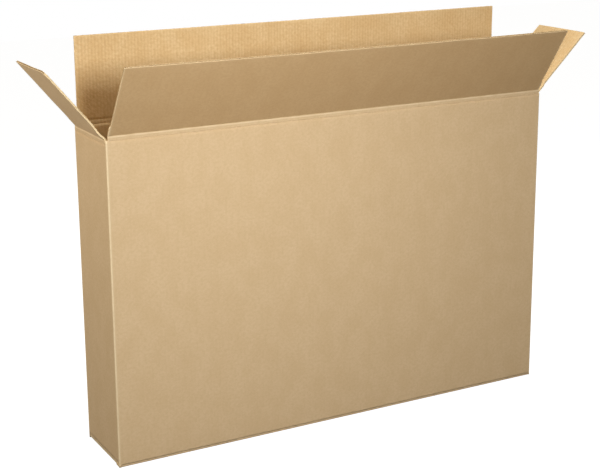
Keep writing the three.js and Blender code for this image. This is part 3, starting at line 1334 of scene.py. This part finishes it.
@dataclass(frozen=True)
class Softbox:
    """One square soft lamp, aimed at a point of the carton."""

    name: str
    watts: float
    size: float
    place: tuple[float, float, float]
    tint: tuple[float, float, float]
    aim: tuple[float, float, float] = (0.0, 0.0, 0.6)

    def make(self) -> None:
        """Adds the lamp."""
        data = bpy.data.lights.new(self.name, "AREA")
        data.energy = self.watts
        data.size = self.size
        data.color = self.tint
        lamp = bpy.data.objects.new(self.name, data)
        lamp.location = self.place
        lamp.rotation_euler = (Vector(self.aim) - lamp.location).to_track_quat("-Z", "Y").to_euler()
        bpy.context.scene.collection.objects.link(lamp)


@dataclass(frozen=True)
class Studio:
    """A plain white studio: pale floor, soft fill, lamps in front, at the left, above, behind."""

    fill: float = 0.32
    fill_tint: tuple[float, float, float, float] = (1.0, 0.97, 0.91, 1.0)
    floor_size: float = 14.0
    floor_gap: float = 0.6 * MM
    floor_lit: str = "#6C6C6C"
    floor_shown: str = "#F4F4F4"
    floor_glow: float = 1.46
    glow_share: float = 0.60
    lamps: tuple[Softbox, ...] = (
        Softbox("front_softbox", 25.5, 0.4, place=(-0.5, -1.6, 1.2), tint=(0.93, 0.965, 1.0)),
        Softbox("left_softbox", 14.0, 0.6, place=(-1.9, 0.1, 1.3), tint=(1.0, 0.97, 0.9)),
        Softbox("overhead_softbox", 17.0, 1.2, place=(0.2, -0.2, 2.4), tint=(1.0, 0.98, 0.92)),
        Softbox("rear_softbox", 22.0, 1.2, place=(1.0, 2.4, 1.5), tint=(1.0, 0.98, 0.94)),
    )

    def seen_only(self, tree: NodeTree, shown: Socket, lit: Socket) -> Socket:
        """Shows one shader to the camera, mirrors and glass, and another to the light."""
        rays = tree.add("LightPath", {}).node.outputs
        seen = rays["Is Camera Ray"]
        for ray in ("Is Glossy Ray", "Is Transmission Ray"):
            seen = tree.add("Math", {0: seen, 1: rays[ray]}, operation="MAXIMUM")
        return tree.add("MixShader", {0: seen, 1: lit, 2: shown})

    def make_floor(self) -> None:
        """Adds the floor: white paper that keeps the carton's shadow."""
        half = self.floor_size / 2
        mesh = bpy.data.meshes.new("floor")
        corners = [(-half, -half, 0), (half, -half, 0), (half, half, 0), (-half, half, 0)]
        mesh.from_pydata(corners, [], [(0, 1, 2, 3)])
        floor = bpy.data.objects.new("floor", mesh)
        floor.location.z = -self.floor_gap
        bpy.context.scene.collection.objects.link(floor)
        # Studio paper: matt and white to the eye, and dim to the lamps, so that it throws
        # little light up at the board.
        material = bpy.data.materials.new("floor_white_paper")
        tree = NodeTree(material)
        matt = tree.add("BsdfDiffuse", {"Color": linear(self.floor_lit)})
        white = tree.add("BsdfDiffuse", {"Color": linear(self.floor_shown)})
        glow = tree.add("Emission", {"Color": (1, 1, 1, 1), "Strength": self.floor_glow})
        paper = tree.add("MixShader", {0: self.glow_share, 1: white, 2: glow})
        tree.add("OutputMaterial", {"Surface": self.seen_only(tree, paper, matt)})
        mesh.materials.append(material)

    def make_world(self) -> None:
        """Lights the scene evenly, with a white background."""
        world = bpy.data.worlds.new("studio")
        bpy.context.scene.world = world
        tree = NodeTree(world)
        fill = tree.add("Background", {"Color": self.fill_tint, "Strength": self.fill})
        white = tree.add("Background", {"Color": (1, 1, 1, 1), "Strength": 1.0})
        tree.add("OutputWorld", {"Surface": self.seen_only(tree, white, fill)})

    def make(self) -> None:
        """Builds the studio and sets the plain view."""
        self.make_floor()
        self.make_world()
        for lamp in self.lamps:
            lamp.make()
        bpy.context.scene.view_settings.view_transform = "Standard"


def main() -> None:
    logging.basicConfig(level=logging.INFO, format="%(name)s: %(message)s")
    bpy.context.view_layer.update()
    PhotoCamera().make()
    leans = {"front": 34.0, "rear": 0.0, "left": 39.5, "right": 46.0}
    leans = {name: math.radians(value) for name, value in leans.items()}
    characters = {
        # Painted shade on the front flap's outer face, which faces down, away from the lamps.
        "front": Character(11, leans["front"], bow=-1.5 * MM, dulled=1.0),
        "rear": Character(12, leans["rear"], bow=1.5 * MM, quilt=(0.06, 0.14, 0.17, 0.055)),
        "left": Character(13, leans["left"], bow=-1.0 * MM, near_dip=-2.2 * MM, clip=5.5 * MM),
        "right": Character(14, leans["right"], bow=1.0 * MM),
    }
    carton = Carton(leans)
    carton.body_piece()
    carton.flap_pieces(characters)
    Studio().make()


if __name__ == "__main__":
    main()
